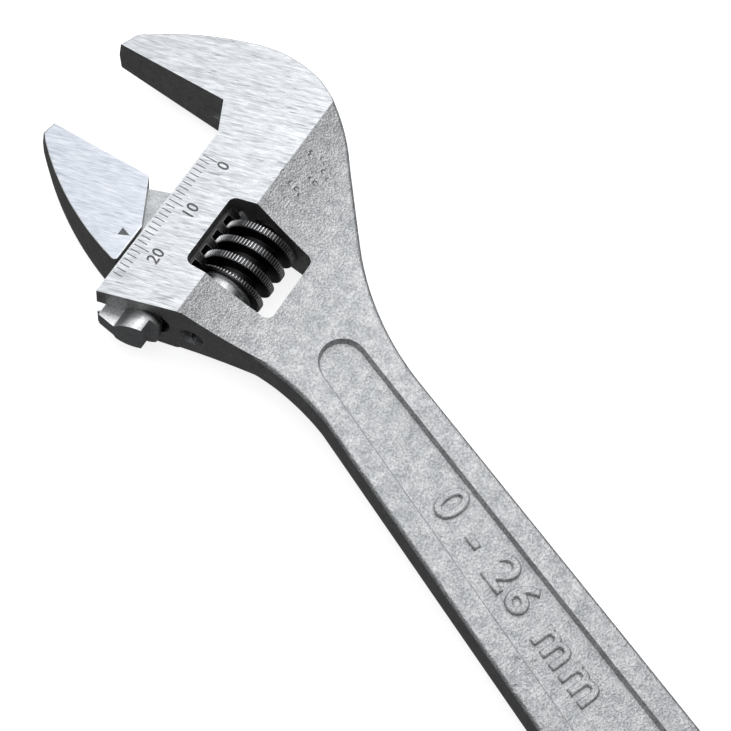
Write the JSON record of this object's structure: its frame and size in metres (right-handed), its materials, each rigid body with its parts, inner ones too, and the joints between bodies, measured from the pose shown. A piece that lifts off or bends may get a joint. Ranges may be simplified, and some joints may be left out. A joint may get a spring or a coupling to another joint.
{
  "type": "adjustable wrench",
  "caption": "8 inch adjustable wrench with a forged I-section handle, scaled head, sliding lower jaw with a toothed bar and a knurled worm on a slotted pin.",
  "frame": {"origin": "centre of the hang hole in the tail of the handle, at mid thickness", "axes": "+X along the handle from the tail to the head, +Z the normal of the graduated face, +Y to the side of the moving jaw"},
  "size_m": [0.2033, 0.0542, 0.0144],
  "materials": {
    "frame_steel": "satin, ground faces brushed",
    "jaw_steel": "ground and brushed",
    "worm_steel": "blackened, knurled",
    "pin_steel": "satin",
    "spring_steel": "plain"
  },
  "bodies": {
    "body": {"frame": "frame_steel", "worm_pin": "pin_steel", "tension_spring": "spring_steel"},
    "jaw": {"moving_jaw": "jaw_steel"},
    "screw": {"worm": "worm_steel"}
  },
  "joints": [
    {"name": "jaw_slide", "type": "slide", "parent": "body", "child": "jaw", "axis": [-0.3827, 0.9239, 0], "range_m": [-0.01895, 0.007]},
    {"name": "worm_spin", "type": "hinge", "parent": "body", "child": "screw", "pos_m": [0.14631, 0.00214, 0], "axis": [-0.3827, 0.9239, 0], "range_deg": [-764.1, 2067.8]}
  ],
  "couplings": [
    {"joint": "worm_spin", "follows": "jaw_slide", "rad_per_m": -1904}
  ]
}
